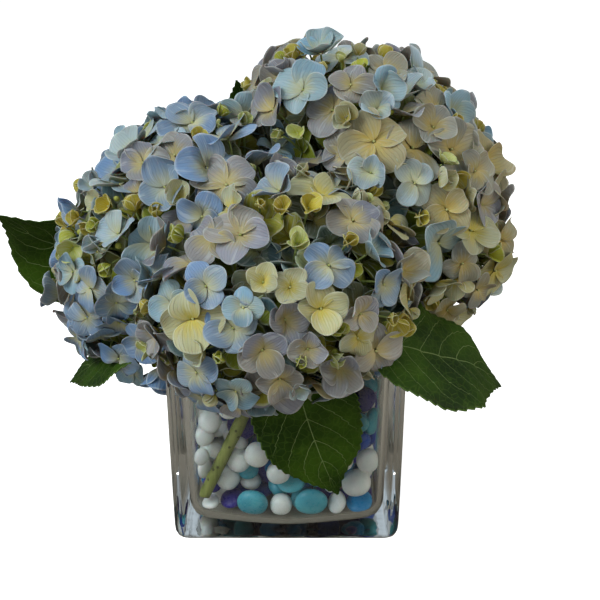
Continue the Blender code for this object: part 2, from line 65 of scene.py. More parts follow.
LEAVES = {
    "leaf_front": (((-1.0, -52.0, 128.9), (0.0, -64.0, 129.6), (3.0, -71.0, 119.0), (10.0, -71.5, 88.0),
                    (19.0, -70.5, 59.0), (28.0, -69.0, 36.0)), 54.0, (0.0, -1.0, 0.25)),
    "leaf_right": (((26.0, -50.0, 128.9), (40.0, -62.0, 129.6), (53.0, -71.0, 127.0), (75.0, -67.0, 118.0),
                    (98.0, -54.0, 106.0), (117.0, -43.0, 88.0)), 64.0, (0.25, -0.42, 0.87)),
    "leaf_left": (((-42.0, 46.0, 128.9), (-54.0, 64.0, 131.0), (-74.0, 84.0, 127.0), (-108.0, 82.0, 126.0),
                   (-142.0, 50.0, 138.0), (-167.0, 22.0, 165.0)), 82.0, (-0.35, -0.9, 0.3)),
    "leaf_lower_left": (((-46.0, -22.0, 128.9), (-62.0, -24.0, 129.6), (-76.0, -27.0, 118.0),
                         (-93.0, -28.0, 104.0), (-109.0, -26.0, 92.0), (-123.0, -22.0, 80.0)),
                        44.0, (-0.6, -0.25, 0.75)),
    "leaf_between": (((-8.0, 50.0, 128.9), (-11.0, 67.0, 131.0), (-17.0, 94.0, 150.0), (-22.0, 103.0, 180.0),
                      (-26.0, 92.0, 210.0), (-31.0, 78.0, 233.0)), 50.0, (0.1, -0.95, -0.1)),
    "leaf_right_side": (((46.0, -2.0, 128.9), (62.0, -3.0, 129.6), (75.0, -4.0, 112.0),
                         (84.0, -2.0, 96.0), (95.0, 2.0, 78.0), (104.0, 6.0, 58.0)),
                        44.0, (0.9, -0.1, 0.45)),
    "leaf_right_back": (((38.0, 46.0, 128.9), (49.0, 64.0, 131.0), (61.0, 78.0, 121.0), (79.0, 91.0, 109.0),
                         (98.0, 102.0, 95.0), (114.0, 113.0, 76.0)), 56.0, (0.45, 0.55, 0.7)),
    "leaf_back": (((-22.0, 48.0, 128.9), (-26.0, 63.0, 129.6), (-30.0, 72.0, 117.0), (-36.0, 76.0, 88.0),
                   (-40.0, 78.0, 62.0), (-48.0, 82.0, 38.0)), 54.0, (0.0, 1.0, 0.25)),
}

# Sepal colours: at the heart of the floret and at its edge.
TINTS = {
    "blue": ((0.43, 0.43, 0.25), (0.165, 0.28, 0.47)),
    "deep_blue": ((0.37, 0.39, 0.27), (0.12, 0.23, 0.41)),
    "pale_blue": ((0.50, 0.51, 0.30), (0.34, 0.45, 0.52)),
    "sky": ((0.43, 0.45, 0.28), (0.22, 0.38, 0.50)),
    "lilac": ((0.44, 0.37, 0.15), (0.205, 0.225, 0.285)),
    "mauve": ((0.46, 0.39, 0.18), (0.25, 0.265, 0.32)),
    "cream": ((0.50, 0.42, 0.08), (0.46, 0.48, 0.32)),
    "grey": ((0.46, 0.37, 0.13), (0.27, 0.29, 0.27)),
    "tan": ((0.50, 0.39, 0.11), (0.35, 0.34, 0.23)),
    "yellow": ((0.44, 0.35, 0.02), (0.54, 0.48, 0.09)),
    "green": ((0.30, 0.32, 0.015), (0.42, 0.45, 0.06)),
    "lime": ((0.42, 0.45, 0.07), (0.52, 0.56, 0.22)),
}
HEAD_TINTS = {
    "left": ("blue", "sky", "sky", "deep_blue", "blue", "lilac", "pale_blue", "blue"),
    "front": ("lilac", "cream", "blue", "mauve", "lilac", "tan", "sky", "blue"),
    "right": ("grey", "pale_blue", "tan", "grey", "sky", "lilac", "mauve", "cream"),
}

# Where a head swells (+) or falls short (-) of its oval: the bearing from the front and the height, both in
# degrees, and the share.
SWELLS = {
    "left": ((-75, 50, -0.12), (-85, 8, -0.05), (-50, -48, 0.12), (150, 10, -0.04)),
    "front": ((10, -60, -0.13), (-58, -46, 0.16)),
    "right": ((85, 40, -0.11), (90, -8, -0.06), (60, -54, 0.13), (-68, 60, 0.07), (50, 74, -0.08)),
}
# The clearest florets of each head: the bearing from the front and the height as seen from the head's centre,
# both in degrees, then the diameter, the tint, the opening and the curl.
SHOWN = {
    "left": (
        (-14, -27, 29, "blue", 0.10, -0.3), (-14, 0, 28, "blue", 0.45, 0.2),
        (-33, 11, 19, "pale_blue", 0.85, 0.6), (-24, 52, 29, "lilac", 0.30, -0.2),
        (-3, 38, 33, "deep_blue", 0.30, 0.5), (4, 33, 20, "cream", 0.60, 0.7),
        (-33, 28, 19, "yellow", 0.60, 0.6), (-40, -20, 24, "blue", 0.25, -0.3),
        (-67, 34, 22, "pale_blue", 0.70, 0.4), (58, 47, 15, "yellow", 0.80, 0.7),
        (66, 60, 15, "lime", 0.70, 0.5), (-55, -34, 25, "blue", 0.20, -0.3),
        (-32, -50, 22, "sky", 0.30, -0.3), (-58, 18, 15, "yellow", 0.75, 0.7),
        (12, 28, 15, "yellow", 0.80, 0.8), (-50, -4, 24, "sky", 0.35, 0.0),
        (-30, -38, 26, "deep_blue", 0.15, -0.4),
    ),
    "front": (
        (-25, 42, 34, "mauve", 0.08, -0.15), (-42, 37, 29, "lilac", 0.10, -0.3),
        (-35, 16, 25, "blue", 0.40, -0.1), (18, 9, 26, "cream", 0.25, -0.2),
        (-7, -8, 27, "lilac", 0.45, 0.1), (49, -18, 31, "mauve", 0.15, -0.3),
        (25, 27, 28, "blue", 0.15, -0.4), (2, 57, 16, "yellow", 0.75, 0.7),
        (24, 56, 18, "yellow", 0.65, 0.6), (-24, -11, 13, "green", 0.85, 0.9),
        (53, 44, 28, "lilac", 0.20, -0.3), (-7, 21, 20, "cream", 0.45, 0.2),
        (5, 19, 23, "cream", 0.35, 0.0), (-15, 10, 20, "sky", 0.45, -0.2),
        (68, 13, 29, "grey", 0.65, 0.4), (12, -8, 22, "lilac", 0.35, 0.2),
        (10, -30, 16, "pale_blue", 0.50, 0.3), (-38, -22, 26, "blue", 0.15, -0.4),
        (39, 35, 14, "yellow", 0.80, 0.7), (50, -1, 13, "yellow", 0.85, 0.7),
        (9, -12, 12, "green", 0.80, 0.8), (10, 38, 17, "lime", 0.70, 0.5),
        (0, -24, 26, "lilac", 0.30, -0.3), (-22, -32, 24, "sky", 0.25, -0.4),
        (-50, -44, 31, "blue", 0.20, -0.5), (-30, -47, 22, "lilac", 0.35, -0.2),
        (36, 4, 24, "mauve", 0.40, 0.2), (-52, 4, 26, "sky", 0.20, -0.4),
    ),
    "right": (
        (-43, 44, 35, "sky", 0.25, -0.3), (11, 13, 27, "pale_blue", 0.20, -0.5),
        (27, 36, 28, "grey", 0.35, 0.1), (24, 2, 30, "tan", 0.30, -0.3),
        (33, -20, 27, "grey", 0.15, -0.5), (60, -17, 28, "tan", 0.20, -0.4),
        (-18, 36, 22, "cream", 0.60, 0.5), (-21, 52, 27, "lilac", 0.30, 0.0),
        (-5, 42, 25, "pale_blue", 0.55, 0.3), (-27, 22, 15, "yellow", 0.80, 0.7),
        (-8, 5, 13, "yellow", 0.80, 0.7), (5, -2, 14, "green", 0.75, 0.7),
        (-36, 28, 16, "lime", 0.70, 0.6), (36, -43, 25, "tan", 0.25, -0.3),
        (48, -34, 25, "grey", 0.25, -0.3), (-64, 64, 30, "sky", 0.35, 0.1),
        (6, 70, 27, "grey", 0.35, 0.1), (40, 62, 25, "pale_blue", 0.45, 0.2),
        (-6, 17, 24, "pale_blue", 0.45, 0.2), (45, 14, 28, "grey", 0.25, -0.3),
        (12, -14, 15, "yellow", 0.75, 0.6),
    ),
}


KINDS = {
    # diameter, opening, curl, ruffle and tilt: each between two values
    "large": ((31, 40), (0.05, 0.50), (-0.70, 0.25), (0.07, 0.17), 0.36),
    "medium": ((23, 32), (0.15, 0.85), (-0.75, 0.60), (0.07, 0.17), 0.46),
    "small": ((11, 20), (0.50, 1.10), (0.00, 1.15), (0.03, 0.09), 0.45),
    "inner": ((24, 33), (0.15, 0.65), (-0.60, 0.45), (0.05, 0.12), 0.45),
}
VIEWER = (0.0, -0.83, 0.56)  # the way to the camera
TO_VIEWER = 0.45  # how far the clearest florets turn that way
FLORET_AREA = 290  # square millimetres of the oval's ball for each outer floret
FLORET_REACH = 0.66  # share of its radius that a floret keeps clear of others
SMALL, MEDIUM = 21, 27  # diameters at which the clearest florets stop being small, and medium
INNER_SHARE = 0.62  # inner florets for each outer one
BUDS = 44  # tried on each head
SEEDS = {"left": 3, "front": 5, "right": 9, "gems": 11}

FLOOR_RISE = 5.5  # how much the vase's inner floor rises at its corners
GEM_SPOTS = 7000  # tried at random behind the front layer
GEM_SPACING = 11.0
GEM_TO_STEM = 9.5
ROUNDED_OFF = 1.13  # how much a gem's coarse surface shrinks when it is smoothed

CAMERA_PLACE = (0.0075, -0.519, 0.331)  # metres
CAMERA_TILT = 68.0  # degrees up from straight down
CAMERA_LENS = 58.6


# ---------------------------------------------------------------- mesh helpers
def unit(vectors):
    """Each vector divided by its own length."""
    vectors = np.asarray(vectors, float)
    return vectors / np.maximum(np.linalg.norm(vectors, axis=-1, keepdims=True), 1e-12)


def on_each(quads, points, copies):
    """The quads of one shape of so many points, repeated for copies that follow each other."""
    return (quads[None] + (np.arange(copies) * points)[:, None, None]).reshape(-1, 4)


def grid_faces(rows, columns, copies=1, wrap=False):
    """Quads of a rows x columns grid of points, repeated for copies that follow each other."""
    r = np.arange(rows - 1)[:, None]
    c = np.arange(columns if wrap else columns - 1)[None, :]
    d = (c + 1) % columns
    quad = np.stack([r * columns + c, r * columns + d, (r + 1) * columns + d, (r + 1) * columns + c], axis=-1)
    return on_each(quad.reshape(-1, 4), rows * columns, copies)


def piece(name, points, faces, material, uv=None, colours=None, body="root", weld=False):
    """A mesh object from points in millimetres and quads, with a UV map and point colours when given."""
    points = np.asarray(points, float).reshape(-1, 3) * MM
    faces = np.asarray(faces, np.int32).reshape(-1, 4)
    mesh = bpy.data.meshes.new(name)
    mesh.vertices.add(len(points))
    mesh.vertices.foreach_set("co", points.ravel().astype(np.float32))
    mesh.loops.add(faces.size)
    mesh.loops.foreach_set("vertex_index", faces.ravel())
    mesh.polygons.add(len(faces))
    mesh.polygons.foreach_set("loop_start", np.arange(len(faces), dtype=np.int32) * 4)
    mesh.update(calc_edges=True)
    if uv is not None:
        layer = mesh.uv_layers.new(name="surface")
        layer.data.foreach_set("uv", np.asarray(uv, np.float32).reshape(-1, 2)[faces.ravel()].ravel())
    for title, values in (colours or {}).items():
        layer = mesh.color_attributes.new(title, "FLOAT_COLOR", "POINT")
        values = np.asarray(values, np.float32).reshape(-1, 3)
        layer.data.foreach_set("color", np.hstack([values, np.ones((len(values), 1), np.float32)]).ravel())
    if weld:
        work = bmesh.new()
        work.from_mesh(mesh)
        bmesh.ops.remove_doubles(work, verts=work.verts[:], dist=1e-6)
        bmesh.ops.dissolve_degenerate(work, edges=work.edges[:], dist=1e-7)
        bmesh.ops.recalc_face_normals(work, faces=work.faces[:])
        work.to_mesh(mesh)
        work.free()
    mesh.validate()
    mesh.polygons.foreach_set("use_smooth", np.full(len(mesh.polygons), True))
    mesh.materials.append(material)
    made = bpy.data.objects.new(name, mesh)
    bpy.context.scene.collection.objects.link(made)
    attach(made, body)
    return made


def thicken(made, depth, levels=1):
    """Give a sheet its thickness in millimetres, and round it off."""
    wall = made.modifiers.new("wall", "SOLIDIFY")
    wall.thickness = depth * MM
    wall.offset = 0.0
    refine(made, levels)


def refine(made, levels):
    """Smooth a coarse surface."""
    if levels:
        finer = made.modifiers.new("finer", "SUBSURF")
        finer.levels = levels
        finer.render_levels = levels


def curve_through(points, count):
    """Points on a smooth curve through the given ones: a cubic on each span, with slopes from its
    neighbours."""
    knots = np.asarray(points, float)
    knots = np.vstack([2 * knots[0] - knots[1], knots, 2 * knots[-1] - knots[-2]])
    place = np.linspace(0, len(knots) - 3, count)
    span = np.minimum(place.astype(int), len(knots) - 4)
    u = (place - span)[:, None]
    a, b, c, d = (knots[span + k] for k in range(4))
    return 0.5 * (2 * b + (c - a) * u + (2 * a - 5 * b + 4 * c - d) * u ** 2 + (3 * b - a - 3 * c + d)
                  * u ** 3)


def turn_to(axes):
    """Matrices (n, 3, 3) whose third column is each given axis and whose first column is level."""
    third = unit(axes)
    guide = np.where(np.abs(third[:, 2:3]) > 0.95, np.array([[1.0, 0.0, 0.0]]), np.array([[0.0, 0.0, 1.0]]))
    first = unit(np.cross(guide, third))
    second = np.cross(third, first)
    return np.stack([first, second, third], axis=-1)


def head_frame(axis):
    """The turn that takes +Z to one head's axis the shortest way."""
    z = unit(axis)
    cross = np.cross((0, 0, 1), z)
    skew = np.array([[0, -cross[2], cross[1]], [cross[2], 0, -cross[0]], [-cross[1], cross[0], 0]])
    return np.eye(3) + skew + skew @ skew / (1 + z[2])


# ------------------------------------------------------------ material helpers
def feed(tree, socket, value):
    """Give a socket its value, or link another socket to it."""
    if isinstance(value, bpy.types.NodeSocket):
        tree.links.new(value, socket)
    else:
        socket.default_value = value


def put(tree, kind, *inputs, **settings):
    """A shader node: inputs in order, as values or sockets, then its settings and inputs by name."""
    made = tree.nodes.new("ShaderNode" + kind)
    for name, value in settings.items():
        if hasattr(made, name):
            setattr(made, name, value)
    for index, value in list(enumerate(inputs)) + [(k, v) for k,
                                                   v in settings.items() if not hasattr(made, k)]:
        if value is None:
            continue
        feed(tree, made.inputs[index if isinstance(index, int) else index.replace("_", " ")], value)
    return made


def sums(tree, operation, *inputs, clamp=False):
    """The result of one Math node."""
    return put(tree, "Math", *inputs, operation=operation, use_clamp=clamp).outputs[0]


def smooth_step(tree, value, low, high):
    """0 below low, 1 above high and smooth between."""
    return put(tree, "MapRange", value, low, high, 0.0, 1.0, interpolation_type="SMOOTHSTEP").outputs[0]


def blend(tree, share, first, second, kind="MIX"):
    """Two colours mixed by a share."""
    node = put(tree, "Mix", data_type="RGBA", blend_type=kind, clamp_factor=True)
    for index, value in ((0, share), (6, first), (7, second)):
        feed(tree, node.inputs[index], value)
    return node.outputs[2]


def group(name, inputs, outputs):
    """An empty shader group with named sockets, with its tree, its input node and its output node."""
    tree = bpy.data.node_groups.new(name, "ShaderNodeTree")
    for title, kind, value in inputs:
        socket = tree.interface.new_socket(title, in_out="INPUT", socket_type="NodeSocket" + kind)
        if value is not None:
            socket.default_value = value
    for title, kind in outputs:
        tree.interface.new_socket(title, in_out="OUTPUT", socket_type="NodeSocket" + kind)
    return tree, tree.nodes.new("NodeGroupInput"), tree.nodes.new("NodeGroupOutput")


def use(tree, shared, **values):
    """A shared group placed in a tree, with its inputs set by name."""
    made = tree.nodes.new("ShaderNodeGroup")
    made.node_tree = shared
    for name, value in values.items():
        feed(tree, made.inputs[name.replace("_", " ")], value)
    return made


def finish_material(name, **values):
    """A material with one Principled shader whose sockets are set by name; gives the material, tree and
    shader."""
    material = bpy.data.materials.new(name)
    material.use_nodes = True
    tree = material.node_tree
    shader = tree.nodes["Principled BSDF"]
    for title, value in values.items():
        shader.inputs[title.replace("_", " ")].default_value = value
    return material, tree, shader


def raised(tree, height, distance, strength=1.0):
    """A Normal made from a height that is measured in millimetres."""
    return put(tree, "Bump", Strength=strength, Distance=distance * MM, Height=height).outputs[0]


# ------------------------------------------------------------------ materials
def fan_group():
    """Fine streaks that fan out along a sepal: noise stretched from its heart to its rim, and a few clear
    veins."""
    tree, start, end = group("fan_veins", (("Across", "Float", 0.0), ("Along", "Float", 0.0),
                                           ("Spot", "Vector", None)), (("Vein", "Float"), ("Streak", "Float"),
                                                                       ("Mottle", "Float")))
    place = put(tree, "SeparateXYZ", start.outputs["Spot"])
    other = sums(tree, "MULTIPLY", sums(tree, "ADD", place.outputs[0], place.outputs[2]), 60.0)
    fan = put(tree, "CombineXYZ", sums(tree, "MULTIPLY", start.outputs["Across"], 11.0),
              sums(tree, "MULTIPLY", start.outputs["Along"], 0.9), other).outputs[0]
    streak = put(tree, "TexNoise", fan, Scale=1.0, Detail=3.0, Roughness=0.6).outputs[0]
    tree.links.new(streak, end.inputs["Streak"])
    waver = put(tree, "TexNoise", start.outputs["Spot"], Scale=260.0, Detail=2.0).outputs[0]
    shift = sums(tree, "MULTIPLY_ADD", waver, 0.9, sums(tree, "MULTIPLY", start.outputs["Across"], 11.0))
    line = sums(tree, "SUBTRACT", 1.0, smooth_step(tree, sums(tree, "PINGPONG", shift, 0.5), 0.0, 0.22))
    fade = smooth_step(tree, start.outputs["Along"], 0.05, 0.35)
    tree.links.new(sums(tree, "MULTIPLY", line, fade), end.inputs["Vein"])
    spots = put(tree, "TexNoise", start.outputs["Spot"], Scale=95.0, Detail=4.0, Roughness=0.6).outputs[0]
    tree.links.new(spots, end.inputs["Mottle"])
    return tree


def sepal_material(veins):
    """Petal-like sepals: cream at the heart, coloured towards the edge, streaked, and a little see-through.
    The paler band along the rim and tip is a painted highlight."""
    material, tree, shader = finish_material("sepal", Roughness=0.60, Specular_IOR_Level=0.25,
                                             Subsurface_Weight=0.10, Subsurface_Scale=0.0015)
    place = put(tree, "SeparateXYZ", put(tree, "UVMap", uv_map="surface").outputs[0])
    across, along = place.outputs[0], place.outputs[1]
    spot = put(tree, "TexCoord").outputs["Object"]
    drawn = use(tree, veins, Across=across, Along=along, Spot=spot)
    heart = put(tree, "Attribute", attribute_name="heart").outputs["Color"]
    edge = put(tree, "Attribute", attribute_name="edge").outputs["Color"]
    off = sums(tree, "ABSOLUTE", sums(tree, "MULTIPLY_ADD", across, 2.0, -1.0))
    reach = sums(tree, "MULTIPLY_ADD", off, 0.16, along)
    reach = sums(tree, "MULTIPLY_ADD", drawn.outputs["Streak"], 0.55, reach)
    reach = sums(tree, "MULTIPLY_ADD", drawn.outputs["Mottle"], 0.30, reach)
    colour = blend(tree, smooth_step(tree, reach, 0.48, 1.16), heart, edge)
    dark = blend(tree, 1.0, colour, (0.66, 0.66, 0.70, 1.0), "MULTIPLY")
    shade = blend(tree, sums(tree, "MULTIPLY", drawn.outputs["Vein"], 0.40), colour, dark)
    pale = smooth_step(tree, drawn.outputs["Streak"], 0.50, 0.72)
    shade = blend(tree, sums(tree, "MULTIPLY", pale, 0.24), shade, (0.70, 0.74, 0.70, 1.0))
    # Painted highlight: a pale band along the sepal's rim and tip stands in for light caught on its edge.
    rim = smooth_step(tree, sums(tree, "MAXIMUM", off, along), 0.90, 0.99)
    shade = blend(tree, sums(tree, "MULTIPLY", rim, 0.30), shade, (0.74, 0.80, 0.76, 1.0))
    tree.links.new(shade, shader.inputs["Base Color"])
    height = sums(tree, "MULTIPLY_ADD", drawn.outputs["Vein"], -0.18, drawn.outputs["Streak"])
    height = sums(tree, "MULTIPLY_ADD", drawn.outputs["Mottle"], 0.8, height)
    tree.links.new(raised(tree, height, 0.45), shader.inputs["Normal"])
    return material


def leaf_vein_group():
    """Leaf veins: a midrib, side veins that run out towards the tip, and a fine net between them."""
    tree, start, end = group("leaf_veins", (("Across", "Float", 0.0), ("Along", "Float", 0.0),
                                            ("Spot", "Vector", None)), (("Vein", "Float"), ("Net", "Float")))
    off = sums(tree, "ABSOLUTE", sums(tree, "MULTIPLY_ADD", start.outputs["Across"], 2.0, -1.0))
    lean = sums(tree, "MULTIPLY", sums(tree, "POWER", off, 1.25), 2.4)
    step = sums(tree, "SUBTRACT", sums(tree, "MULTIPLY", start.outputs["Along"], 8.0), lean)
    waver = put(tree, "TexNoise", start.outputs["Spot"], Scale=60.0, Detail=1.0).outputs[0]
    near = sums(tree, "PINGPONG", sums(tree, "MULTIPLY_ADD", waver, 0.35, step), 0.5)
    side = sums(tree, "SUBTRACT", 1.0, smooth_step(tree, near, 0.004, 0.030))
    side = sums(tree, "MULTIPLY", side, sums(tree, "SUBTRACT", 1.0, smooth_step(tree, off, 0.62, 1.0)))
    rib = sums(tree, "SUBTRACT", 1.0, smooth_step(tree, off, 0.003, 0.015))
    cells = put(tree, "TexVoronoi", start.outputs["Spot"], Scale=240.0, feature="DISTANCE_TO_EDGE").outputs[0]
    net = sums(tree, "SUBTRACT", 1.0, smooth_step(tree, cells, 0.0, 0.09))
    tree.links.new(sums(tree, "MAXIMUM", side, rib), end.inputs["Vein"])
    tree.links.new(net, end.inputs["Net"])
    return tree


def leaf_material(veins):
    """Dark satin leaves with pale green veins and a paler toothed rim."""
    material, tree, shader = finish_material("leaf", Roughness=0.52, Specular_IOR_Level=0.16,
                                             Subsurface_Weight=0.04, Subsurface_Scale=0.001)
    place = put(tree, "SeparateXYZ", put(tree, "UVMap", uv_map="surface").outputs[0])
    spot = put(tree, "TexCoord").outputs["Object"]
    drawn = use(tree, veins, Across=place.outputs[0], Along=place.outputs[1], Spot=spot)
    patch = put(tree, "TexNoise", spot, Scale=32.0, Detail=4.0).outputs[0]
    colour = blend(tree, smooth_step(tree, patch, 0.3, 0.7), (0.008, 0.025, 0.001, 1.0),
                   (0.034, 0.080, 0.003, 1.0))
    colour = blend(tree, sums(tree, "MULTIPLY", drawn.outputs["Net"], 0.22), colour, (0.09, 0.16, 0.02, 1.0))
    colour = blend(tree, sums(tree, "MULTIPLY", drawn.outputs["Vein"], 0.85), colour, (0.22, 0.30, 0.11, 1.0))
    off = sums(tree, "ABSOLUTE", sums(tree, "MULTIPLY_ADD", place.outputs[0], 2.0, -1.0))
    colour = blend(tree, sums(tree, "MULTIPLY", smooth_step(tree, off, 0.965, 1.0), 0.6), colour,
                   (0.14, 0.24, 0.05, 1.0))
    tree.links.new(colour, shader.inputs["Base Color"])
    height = sums(tree, "SUBTRACT", sums(tree, "MULTIPLY", patch, 0.5), drawn.outputs["Vein"])
    height = sums(tree, "MULTIPLY_ADD", drawn.outputs["Net"], -0.35, height)
    tree.links.new(raised(tree, height, 0.3), shader.inputs["Normal"])
    return material


def stem_material(name, dark, light, spots):
    """Green stems, streaked along their length, with darker raised spots."""
    material, tree, shader = finish_material(name, Roughness=0.55, Specular_IOR_Level=0.3)
    spot = put(tree, "TexCoord").outputs["Object"]
    streak = put(tree, "TexNoise", put(tree, "Mapping", spot, Scale=(1.0, 1.0, 0.12)).outputs[0], Scale=420.0,
                 Detail=3.0).outputs[0]
    colour = blend(tree, smooth_step(tree, streak, 0.3, 0.7), dark, light)
    pores = put(tree, "TexVoronoi", spot, Scale=240.0, Randomness=1.0).outputs[0]
    pores = sums(tree, "SUBTRACT", 1.0, smooth_step(tree, pores, 0.14, 0.26))
    colour = blend(tree, sums(tree, "MULTIPLY", pores, spots), colour, (0.045, 0.045, 0.014, 1.0))
    tree.links.new(colour, shader.inputs["Base Color"])
    tree.links.new(raised(tree, sums(tree, "ADD", streak, pores), 0.2), shader.inputs["Normal"])
    return material


def gem_material(name, colour, deep):
    """Smooth glass gems of one colour, slightly cloudy, with a faint bloom on the skin."""
    material, tree, shader = finish_material("gem_" + name, Roughness=0.34, Specular_IOR_Level=0.5,
                                             Subsurface_Weight=0.15, Subsurface_Scale=0.003)
    spot = put(tree, "TexCoord").outputs["Object"]
    cloud = put(tree, "TexNoise", spot, Scale=70.0, Detail=3.0).outputs[0]
    tree.links.new(blend(tree, smooth_step(tree, cloud, 0.32, 0.68), deep, colour),
                   shader.inputs["Base Color"])
    bloom = put(tree, "TexNoise", spot, Scale=600.0, Detail=2.0).outputs[0]
    tree.links.new(put(tree, "MapRange", bloom, 0.3, 0.7, 0.22, 0.42).outputs[0], shader.inputs["Roughness"])
    return material


def glass_material():
    """Clear pressed glass, very slightly grey. It lets lamplight straight through for its shadows, and lets
    a ray
    out after one reflection inside the foot, or three in the walls, so that the foot shows the gems above
    it."""
    material, tree, shader = finish_material("clear_glass", Base_Color=(0.90, 0.93, 0.92, 1.0),
                                             Roughness=0.02,
                                             IOR=1.5, Transmission_Weight=1.0)
    spot = put(tree, "TexCoord").outputs["Object"]
    ripple = put(tree, "TexNoise", put(tree, "Mapping", spot, Scale=(1.0, 1.0, 0.15)).outputs[0], Scale=110.0,
                 Detail=1.0).outputs[0]
    tree.links.new(raised(tree, ripple, 0.25, 0.5), shader.inputs["Normal"])
    path = put(tree, "LightPath")
    clear = put(tree, "BsdfTransparent", (0.95, 0.97, 0.97, 1.0)).outputs[0]
    share = sums(tree, "MAXIMUM", path.outputs["Is Shadow Ray"], path.outputs["Is Diffuse Ray"])
    level = put(tree, "SeparateXYZ", spot).outputs[2]
    most = sums(tree, "MULTIPLY_ADD", sums(tree, "GREATER_THAN", level, 0.0125), 2.0, 0.5)
    share = sums(tree, "MAXIMUM", share, sums(tree, "GREATER_THAN", path.outputs["Glossy Depth"], most))
    both = put(tree, "MixShader", share, shader.outputs[0], clear)
    tree.links.new(both.outputs[0], tree.nodes["Material Output"].inputs["Surface"])
    return material


# ----------------------------------------------------------------------- vase
def square_rings(profile, corner, count=96):
    """Rings (levels, count, 3): each is a square with rounded corners whose half width and height come from
    the
    profile. A point at angle t lies where the ray leaves the square, and the corner arc replaces the last
    stretch."""
    height, half = np.array(profile).T
    steps = np.linspace(0, 1, count // 4, endpoint=False)
    rings = []
    for quarter in range(4):
        radius = np.minimum(corner, np.maximum(half * 0.5, 1e-3))[:, None]
        arc = np.clip((steps - 0.25) / 0.5, 0, 1)[None, :] * math.pi / 2
        before = np.minimum(steps / 0.25, 1)[None, :] * (half[:, None] - radius)
        after = np.maximum((steps - 0.75) / 0.25, 0)[None, :] * (half[:, None] - radius)
        x = half[:, None] - radius + radius * np.cos(arc) - after
        y = before + radius * np.sin(arc)
        angle = quarter * math.pi / 2
        rings.append(np.stack([x * math.cos(angle) - y * math.sin(angle),
                               x * math.sin(angle) + y * math.cos(angle),
                               np.broadcast_to(height[:, None], x.shape)], axis=-1))
    return np.concatenate(rings, axis=1)


def make_vase(glass):
    """The vase as one skin: under the foot, up the outside, over the rim, down the inside and across the
    floor,
    which rises towards its corners with the power 1.5 of |x y|."""
    outside = square_rings(VASE_OUTSIDE, 6.0)
    inside = square_rings(VASE_INSIDE, 7.0)
    corner = (np.abs(inside[..., 0] * inside[..., 1]) / 2500) ** 1.5
    inside[..., 2] += FLOOR_RISE * corner * np.clip(2 - inside[..., 2] / 12, 0, 1)
    rings = np.concatenate([outside, inside])
    made = piece("glass_vase", rings, grid_faces(len(rings), rings.shape[1], wrap=True), glass, weld=True)
    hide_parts("vase")


# ----------------------------------------------------------------------- gems
def round_cube(cuts=2):
    """Points and quads of a unit ball made from a cube whose faces are cut in a grid and pushed out to the
    ball."""
    side = np.tan(np.linspace(-math.pi / 4, math.pi / 4, cuts + 1))
    a, b = np.meshgrid(side, side, indexing="ij")
    one = np.ones_like(a)
    sheets = []
    for axis in range(3):
        for sign in (-1.0, 1.0):
            parts = [a, b * sign, one * sign]
            sheets.append(np.stack([parts[(k - axis) % 3] for k in range(3)], axis=-1).reshape(-1, 3))
    return unit(np.concatenate(sheets)), grid_faces(cuts + 1, cuts + 1, copies=6)


def gem_frame(node):
    """A gem node's centre, axes and half sizes, from the spread of its corners; the last axis is its flat
    one."""
    mesh = NODES[node].data
    points = np.empty(len(mesh.vertices) * 3, np.float32)
    mesh.vertices.foreach_get("co", points)
    points = np.unique(points.reshape(-1, 3).round(7), axis=0) / MM
    centre = (points.max(axis=0) + points.min(axis=0)) / 2
    _, _, axes = np.linalg.svd(points - centre, full_matrices=False)
    return centre, axes, np.abs((points - centre) @ axes.T).max(axis=0)


def make_gems(materials):
    """Flattened gems: the front layer where the frame has them, and more behind it, dropped in from the
    lowest up
    wherever there is room; those at a wall lie flat against it.
    A gem is a ball flattened along one axis, a little squarer than an ellipsoid, with a slightly uneven
    outline."""
    rng = np.random.default_rng(SEEDS["gems"])
    ball, quads = round_cube()
    placed = {name: [] for name in materials}
    for node in NODES:
        if node.startswith("gem_") and node != "gem_bed":
            centre, axes, half = gem_frame(node)
            placed[node[4:].rsplit("_", 1)[0]].append((centre, axes.T, half))
    stems = np.concatenate([curve_through(STEMS[name], 40) for name in STEMS])
    kinds = list(materials)
    taken = np.array([gem[0] for gems in placed.values() for gem in gems])
    spots = rng.uniform((-52, -36, 10), (52, 52, 90), (GEM_SPOTS, 3))
    spots = spots[np.argsort(spots[:, 2] + rng.uniform(-3, 3, len(spots)))]
    for centre in np.clip(spots, -46.2, (46.2, 46.2, 89.0)):
        centre[2] = max(centre[2], 12.0 + 4.0 * np.abs(centre[0] * centre[1] / 2116) ** 1.5)
        near = np.linalg.norm((taken - centre) * (1.0, 1.0, 1.2), axis=1).min()
        if near < GEM_SPACING or np.linalg.norm(stems - centre, axis=1).min() < GEM_TO_STEM:
            continue
        white = 0.62 if centre[0] < -26 else 0.30 if centre[1] > 10 else 0.10
        rest = np.array([0.22, 0.26, 0.24, 0.28]) * (1 - white)
        wall = np.where(np.abs(centre[:2]) > 45, np.sign(centre[:2]) * 1.6, 0)
        axis = unit(rng.normal(0, 0.5, 3) + (wall[0], wall[1], 0.7))
        half = np.array([7.6, 7.3, 4.9]) * rng.uniform(0.86, 1.10)
        placed[kinds[rng.choice(5, p=(white, *rest))]].append((centre, turn_to(axis[None])[0], half))
        taken = np.vstack([taken, centre])
    for name, gems in placed.items():
        centres = np.array([gem[0] for gem in gems])
        turns = np.array([gem[1] for gem in gems])
        halves = np.array([gem[2] for gem in gems]) * ROUNDED_OFF
        shape = np.sign(ball) * np.abs(ball) ** np.array([1.0, 1.0, 0.86])
        points = np.einsum("gij,gpj->gpi", turns, shape[None] * halves[:, None, :]) + centres[:, None, :]
        faces = on_each(quads, len(ball), len(gems))
        gem = piece("gems_" + name, points, faces, materials[name], weld=True)
        refine(gem, 2)
        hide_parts("gem_bed", *[node for node in NODES if node.startswith("gem_" + name)])


